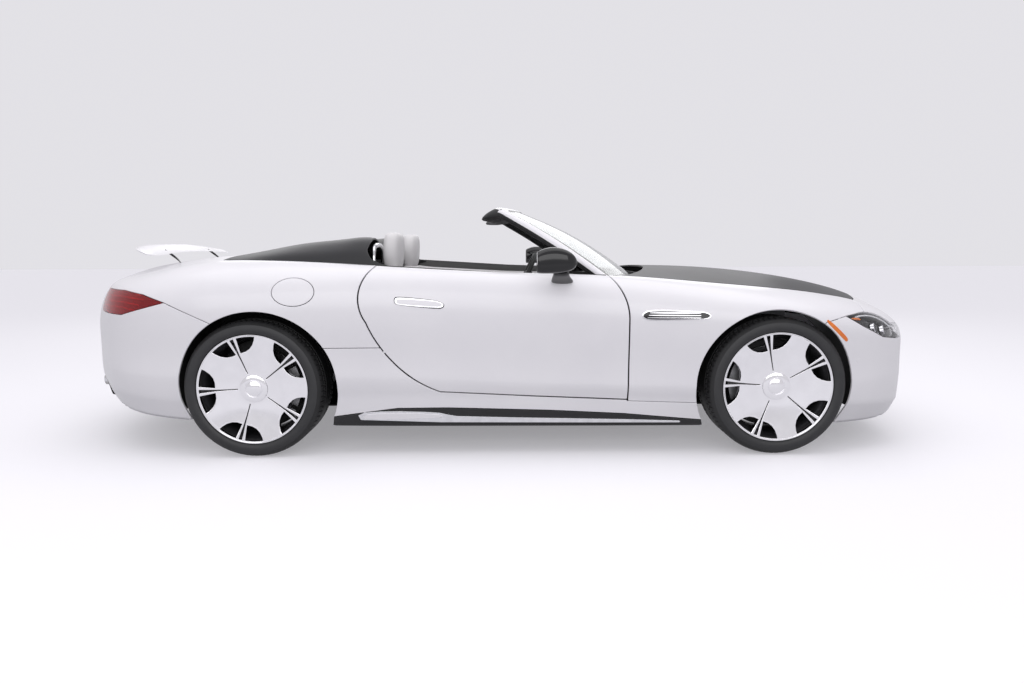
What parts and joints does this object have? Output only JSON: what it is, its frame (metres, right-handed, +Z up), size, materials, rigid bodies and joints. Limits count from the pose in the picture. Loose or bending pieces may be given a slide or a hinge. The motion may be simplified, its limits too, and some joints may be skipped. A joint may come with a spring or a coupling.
{
  "type": "roadster convertible",
  "caption": "Open two-seat sports car with a folding top under a rigid cover, hinged doors, bonnet, boot lid and fuel flap, raised rear spoiler, steered front wheels and turning road wheels.",
  "frame": {"origin": "on the ground, under the middle of the car's overall length and width", "axes": "+X forward along the car's length, +Y to the car's left, +Z up"},
  "size_m": [4.7, 2.13, 1.2999],
  "materials": {
    "body_white": "satin white paint",
    "bonnet_black": "satin black paint",
    "cover_black": "satin black panel",
    "black_trim": "gloss black plastic",
    "dark_plastic": "grained black plastic",
    "chrome": "polished chrome",
    "screen_glass": "clear laminated glass",
    "lamp_clear": "clear lamp cover over bright metal",
    "lamp_red": "red lamp cover",
    "tyre_rubber": "black rubber",
    "wheel_metal": "polished alloy",
    "cast_metal": "cast alloy",
    "frame_black": "black coated steel",
    "seat_leather": "white leather",
    "cabin_black": "black leather and soft trim",
    "carpet": "black carpet",
    "roof_cloth": "black roof cloth",
    "exhaust_metal": "bright stainless steel"
  },
  "bodies": {
    "root": {"floor_pan": "carpet", "firewall": "frame_black", "rear_bulkhead": "carpet", "boot_tub": "carpet", "cowl": "dark_plastic", "front_frame": "frame_black", "rear_frame": "frame_black", "engine": "cast_metal", "undertrays": "dark_plastic", "front_wings": "body_white", "rear_quarters": "body_white", "sill_panels": "body_white", "sill_inserts": "black_trim", "front_bumper": "body_white", "grilles": "chrome", "headlamps": "lamp_clear", "rear_bumper": "body_white", "diffuser": "black_trim", "tail_lamps": "lamp_red", "exhaust": "exhaust_metal", "windscreen_frame": "body_white", "windscreen_glass": "screen_glass", "dashboard": "cabin_black", "centre_console": "cabin_black", "seat_left": "seat_leather", "seat_right": "seat_leather", "wheel_liners": "dark_plastic", "folded_roof": "roof_cloth", "roll_hoops": "chrome", "wipers": "dark_plastic", "rear_knuckles": "cast_metal"},
    "steering_wheel": {"steering_wheel": "cabin_black"},
    "upright_front_left": {"knuckle_front_left": "cast_metal"},
    "upright_front_right": {"knuckle_front_right": "cast_metal"},
    "door_left": {"door_left": "body_white", "mirror_left": "black_trim"},
    "door_right": {"door_right": "body_white", "mirror_right": "black_trim"},
    "bonnet": {"bonnet": "bonnet_black"},
    "boot_lid": {"boot_lid": "body_white"},
    "rear_spoiler": {"rear_spoiler": "body_white"},
    "top_cover": {"top_cover": "cover_black"},
    "fuel_flap": {"fuel_flap": "body_white"},
    "wheel_front_left": {"tyre_front_left": "tyre_rubber", "rim_front_left": "wheel_metal"},
    "wheel_front_right": {"tyre_front_right": "tyre_rubber", "rim_front_right": "wheel_metal"},
    "wheel_rear_left": {"tyre_rear_left": "tyre_rubber", "rim_rear_left": "wheel_metal"},
    "wheel_rear_right": {"tyre_rear_right": "tyre_rubber", "rim_rear_right": "wheel_metal"}
  },
  "joints": [
    {"name": "steer_left", "type": "hinge", "parent": "root", "child": "upright_front_left", "pos_m": [1.46, 0.735, 0.358], "axis": [0, 0, 1], "range_deg": [-32, 32]},
    {"name": "steer_right", "type": "hinge", "parent": "root", "child": "upright_front_right", "pos_m": [1.46, -0.735, 0.358], "axis": [0, 0, 1], "range_deg": [-32, 32]},
    {"name": "steering_wheel_turn", "type": "hinge", "parent": "root", "child": "steering_wheel", "pos_m": [0.19, 0.365, 0.868], "axis": [-0.9063, 0, 0.4226], "range_deg": [-450, 450]},
    {"name": "wheel_front_left_spin", "type": "hinge", "parent": "upright_front_left", "child": "wheel_front_left", "pos_m": [1.46, 0.8, 0.358], "axis": [0, 1, 0], "continuous": true},
    {"name": "wheel_front_right_spin", "type": "hinge", "parent": "upright_front_right", "child": "wheel_front_right", "pos_m": [1.46, -0.8, 0.358], "axis": [0, 1, 0], "continuous": true},
    {"name": "wheel_rear_left_spin", "type": "hinge", "parent": "root", "child": "wheel_rear_left", "pos_m": [-1.24, 0.8, 0.358], "axis": [0, 1, 0], "continuous": true},
    {"name": "wheel_rear_right_spin", "type": "hinge", "parent": "root", "child": "wheel_rear_right", "pos_m": [-1.24, -0.8, 0.358], "axis": [0, 1, 0], "continuous": true},
    {"name": "door_left_swing", "type": "hinge", "parent": "root", "child": "door_left", "pos_m": [0.59, 0.908, 0.6], "axis": [0, 0, -1], "range_deg": [0, 65]},
    {"name": "door_right_swing", "type": "hinge", "parent": "root", "child": "door_right", "pos_m": [0.59, -0.908, 0.6], "axis": [0, 0, 1], "range_deg": [0, 65]},
    {"name": "bonnet_lift", "type": "hinge", "parent": "root", "child": "bonnet", "pos_m": [0.69, 0, 0.892], "axis": [0, -1, 0], "range_deg": [0, 50]},
    {"name": "boot_lid_lift", "type": "hinge", "parent": "root", "child": "boot_lid", "pos_m": [-1.56, 0, 1], "axis": [0, 1, 0], "range_deg": [0, 66]},
    {"name": "top_cover_lift", "type": "hinge", "parent": "root", "child": "top_cover", "pos_m": [-1.37, 0, 1], "axis": [0, -1, 0], "range_deg": [0, 55]},
    {"name": "spoiler_lower", "type": "hinge", "parent": "boot_lid", "child": "rear_spoiler", "pos_m": [-1.842, 0, 0.985], "axis": [0, -1, 0], "range_deg": [0, 16]},
    {"name": "fuel_flap_swing", "type": "hinge", "parent": "root", "child": "fuel_flap", "pos_m": [-0.886, -0.928, 0.857], "axis": [0, 0, 1], "range_deg": [0, 90]}
  ],
  "couplings": [
    {"joint": "steer_right", "follows": "steer_left", "ratio": 1},
    {"joint": "steering_wheel_turn", "follows": "steer_left", "ratio": 14}
  ]
}
